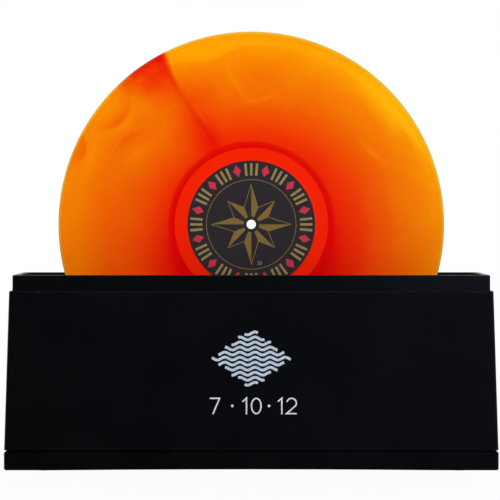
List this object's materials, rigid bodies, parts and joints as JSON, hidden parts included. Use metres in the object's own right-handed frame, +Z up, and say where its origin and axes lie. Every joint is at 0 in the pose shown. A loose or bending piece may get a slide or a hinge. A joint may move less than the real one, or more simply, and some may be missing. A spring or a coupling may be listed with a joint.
{
  "type": "record cleaning machine",
  "caption": "Hand-turned wet washer for 12 inch records: a narrow black bath in which the record stands on two rubber-tyred rollers between upright hair brushes.",
  "frame": {"origin": "on the surface the feet stand on, under the middle of the bath", "axes": "+X along the bath to the right of the front face, +Y to the back, +Z up"},
  "size_m": [0.377, 0.104, 0.3388],
  "materials": {
    "shell_plastic": "satin black moulded plastic",
    "tub_plastic": "polished black moulded plastic",
    "screw_steel": "zinc plated",
    "vinyl": "marbled orange record vinyl",
    "label_paper": "printed paper",
    "foot_rubber": "matt rubber",
    "bush_nylon": "natural nylon",
    "brush_plastic": "fine textured",
    "brush_wood": "oiled beech",
    "brush_hair": "goat hair",
    "roller_plastic": "grey acetal",
    "tyre_rubber": "soft rubber",
    "print_ink": "silver screen print on the case",
    "label_gold": "gold print on the label",
    "label_rose": "rose print on the label",
    "axle_steel": "ground stainless steel"
  },
  "bodies": {
    "basin": {"outer_shell": "shell_plastic", "inner_tub": "tub_plastic", "base_tray": "shell_plastic", "shell_screws": "screw_steel", "tub_screws": "screw_steel", "foot_front_left": "foot_rubber", "foot_front_right": "foot_rubber", "foot_rear_left": "foot_rubber", "foot_rear_right": "foot_rubber", "axle_bush_front_left": "bush_nylon", "axle_bush_front_right": "bush_nylon", "axle_bush_rear_left": "bush_nylon", "axle_bush_rear_right": "bush_nylon"},
    "record": {"record_disc": "vinyl", "record_label_front": "label_paper", "record_label_rear": "label_paper"},
    "left_roller": {"roller_half_front_left": "roller_plastic", "roller_half_rear_left": "roller_plastic", "roller_tyre_left": "tyre_rubber", "roller_axle_left": "axle_steel", "axle_clips_left": "axle_steel"},
    "right_roller": {"roller_half_front_right": "roller_plastic", "roller_half_rear_right": "roller_plastic", "roller_tyre_right": "tyre_rubber", "roller_axle_right": "axle_steel", "axle_clips_right": "axle_steel"},
    "front_brush": {"brush_holder_front": "brush_plastic", "brush_strip_front": "brush_wood", "brush_bristles_front": "brush_hair"},
    "rear_brush": {"brush_holder_rear": "brush_plastic", "brush_strip_rear": "brush_wood", "brush_bristles_rear": "brush_hair"}
  },
  "joints": [
    {"name": "record_spin", "type": "hinge", "parent": "basin", "child": "record", "pos_m": [0, 0, 0.188], "axis": [0, 1, 0], "continuous": true},
    {"name": "left_roller_spin", "type": "hinge", "parent": "basin", "child": "left_roller", "pos_m": [-0.08643, 0, 0.04968], "axis": [0, 1, 0], "continuous": true},
    {"name": "right_roller_spin", "type": "hinge", "parent": "basin", "child": "right_roller", "pos_m": [0.08643, 0, 0.04968], "axis": [0, 1, 0], "continuous": true},
    {"name": "front_brush_lift", "type": "slide", "parent": "basin", "child": "front_brush", "axis": [0, 0, 1], "range_m": [0, 0.115]},
    {"name": "rear_brush_lift", "type": "slide", "parent": "basin", "child": "rear_brush", "axis": [0, 0, 1], "range_m": [0, 0.115]}
  ],
  "couplings": [
    {"joint": "left_roller_spin", "follows": "record_spin", "ratio": -12.567},
    {"joint": "right_roller_spin", "follows": "record_spin", "ratio": -12.567}
  ]
}
